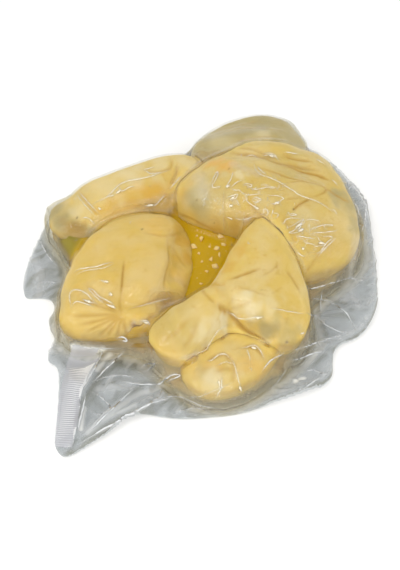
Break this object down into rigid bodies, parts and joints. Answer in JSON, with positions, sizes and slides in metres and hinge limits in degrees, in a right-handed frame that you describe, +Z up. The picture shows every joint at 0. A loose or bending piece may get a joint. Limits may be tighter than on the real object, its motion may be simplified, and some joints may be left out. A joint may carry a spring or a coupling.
{
  "type": "brined goat cheese in a clear vacuum pack",
  "caption": "Folded goat cheeses lying in yellow brine in a clear vacuum bag, with a crumpled film margin and a ribbed seal band at its mouth.",
  "frame": {"origin": "middle of the pack's box in plan, on the table that the pack lies on", "axes": "+Z up; +Y to the back of the pack, its longest side; +X to its right, with the bag's mouth on the left"},
  "size_m": [0.2946, 0.3446, 0.0572],
  "materials": {
    "film": "clear, glossy",
    "brine": "clear yellow liquid",
    "cheese": "moist, smooth"
  },
  "bodies": {
    "root": {"bag": "film", "brine": "brine", "cheese_front_left": "cheese", "cheese_back_left": "cheese", "cheese_back_right": "cheese", "cheese_back": "cheese", "cheese_front_right": "cheese", "cheese_front": "cheese"}
  },
  "joints": []
}
